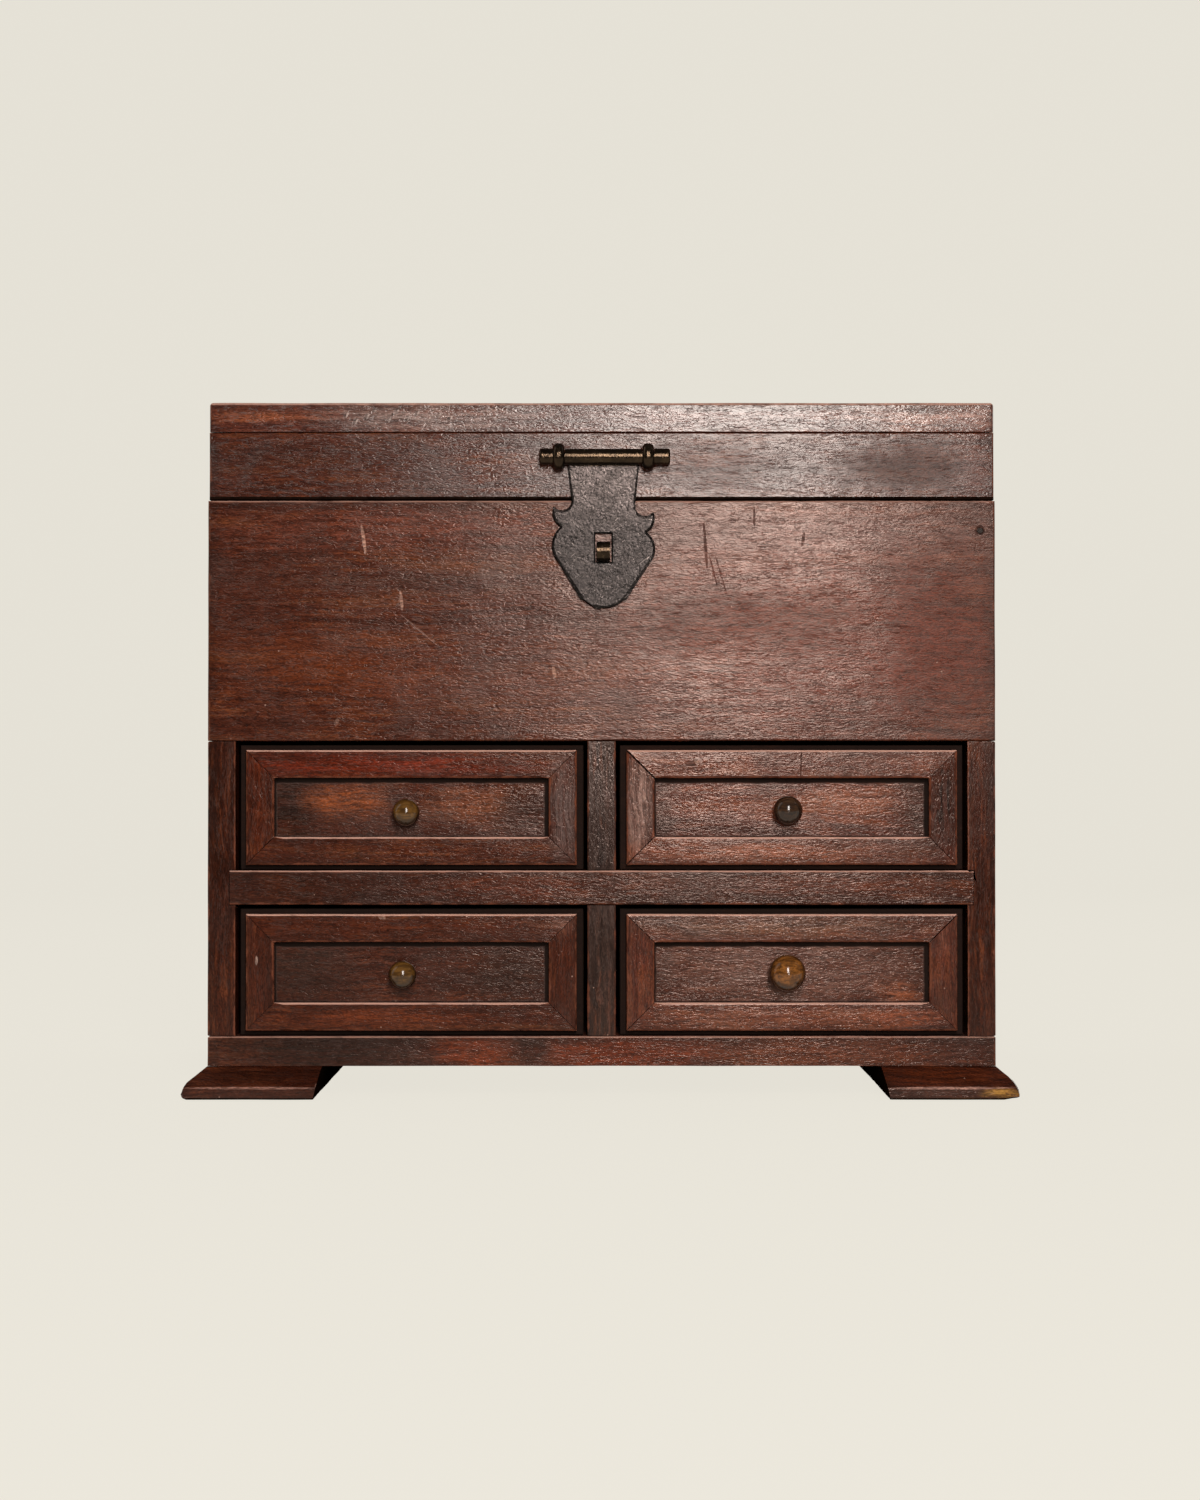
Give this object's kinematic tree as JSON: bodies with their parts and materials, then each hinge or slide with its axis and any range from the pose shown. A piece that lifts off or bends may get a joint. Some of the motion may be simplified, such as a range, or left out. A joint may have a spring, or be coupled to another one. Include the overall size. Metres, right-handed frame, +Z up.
{
  "type": "tabletop chest of drawers",
  "caption": "Wooden tabletop chest on runner feet: a hinged lid with an iron hasp over a well, and panelled drawers with turned knobs below.",
  "frame": {"origin": "middle of the object's box, on the surface that the feet stand on", "axes": "+Z up, front towards -Y, +X to the right seen from the front"},
  "size_m": [0.53, 0.365, 0.4412],
  "materials": {
    "case_wood": "satin",
    "inner_wood": "matt",
    "divider_wood": "satin",
    "drawer_wood": "satin",
    "moulding_wood": "satin",
    "drawer_lining": "matt",
    "dark_knob": "polished",
    "pale_knob": "polished",
    "plate_iron": "worn",
    "dark_iron": "worn",
    "hinge_iron": "worn",
    "nail_iron": "worn"
  },
  "bodies": {
    "carcass": {"case_left_side": "case_wood", "case_right_side": "case_wood", "case_front_board": "case_wood", "case_back_board": "case_wood", "case_bottom_board": "case_wood", "well_floor": "inner_wood", "middle_shelf": "case_wood", "upper_divider": "divider_wood", "lower_divider": "divider_wood", "left_foot": "case_wood", "right_foot": "case_wood", "hasp_staple": "dark_iron", "left_hinge_case_leaf": "hinge_iron", "right_hinge_case_leaf": "hinge_iron", "left_hinge_pin": "hinge_iron", "right_hinge_pin": "hinge_iron", "case_hinge_screws": "hinge_iron", "front_board_nail": "nail_iron"},
    "lid": {"lid_top_board": "case_wood", "lid_front_rail": "case_wood", "lid_back_rail": "case_wood", "lid_left_rail": "case_wood", "lid_right_rail": "case_wood", "lid_top_nails": "nail_iron", "left_hinge_lid_leaf": "hinge_iron", "right_hinge_lid_leaf": "hinge_iron", "lid_hinge_screws": "hinge_iron", "left_hasp_eye": "dark_iron", "right_hasp_eye": "dark_iron"},
    "hasp": {"hasp_plate": "plate_iron", "hasp_pin": "dark_iron"},
    "upper_left_drawer": {"upper_left_drawer_front": "drawer_wood", "upper_left_drawer_moulding": "moulding_wood", "upper_left_drawer_left_side": "drawer_lining", "upper_left_drawer_right_side": "drawer_lining", "upper_left_drawer_back": "drawer_lining", "upper_left_drawer_bottom": "drawer_lining", "upper_left_drawer_knob": "dark_knob"},
    "upper_right_drawer": {"upper_right_drawer_front": "drawer_wood", "upper_right_drawer_moulding": "moulding_wood", "upper_right_drawer_left_side": "drawer_lining", "upper_right_drawer_right_side": "drawer_lining", "upper_right_drawer_back": "drawer_lining", "upper_right_drawer_bottom": "drawer_lining", "upper_right_drawer_knob": "dark_knob"},
    "lower_left_drawer": {"lower_left_drawer_front": "drawer_wood", "lower_left_drawer_moulding": "moulding_wood", "lower_left_drawer_left_side": "drawer_lining", "lower_left_drawer_right_side": "drawer_lining", "lower_left_drawer_back": "drawer_lining", "lower_left_drawer_bottom": "drawer_lining", "lower_left_drawer_knob": "dark_knob"},
    "lower_right_drawer": {"lower_right_drawer_front": "drawer_wood", "lower_right_drawer_moulding": "moulding_wood", "lower_right_drawer_left_side": "drawer_lining", "lower_right_drawer_right_side": "drawer_lining", "lower_right_drawer_back": "drawer_lining", "lower_right_drawer_bottom": "drawer_lining", "lower_right_drawer_knob": "pale_knob"}
  },
  "joints": [
    {"name": "lid_hinge", "type": "hinge", "parent": "carcass", "child": "lid", "pos_m": [0, 0.16252, 0.379], "axis": [-1, 0, 0], "range_deg": [0, 100]},
    {"name": "hasp_swing", "type": "hinge", "parent": "lid", "child": "hasp", "pos_m": [0.0012, -0.16908, 0.4058], "axis": [-1, 0, 0], "range_deg": [0, 195]},
    {"name": "upper_left_drawer_slide", "type": "slide", "parent": "carcass", "child": "upper_left_drawer", "axis": [0, -1, 0], "range_m": [0, 0.23]},
    {"name": "upper_right_drawer_slide", "type": "slide", "parent": "carcass", "child": "upper_right_drawer", "axis": [0, -1, 0], "range_m": [0, 0.23]},
    {"name": "lower_left_drawer_slide", "type": "slide", "parent": "carcass", "child": "lower_left_drawer", "axis": [0, -1, 0], "range_m": [0, 0.23]},
    {"name": "lower_right_drawer_slide", "type": "slide", "parent": "carcass", "child": "lower_right_drawer", "axis": [0, -1, 0], "range_m": [0, 0.23]}
  ]
}
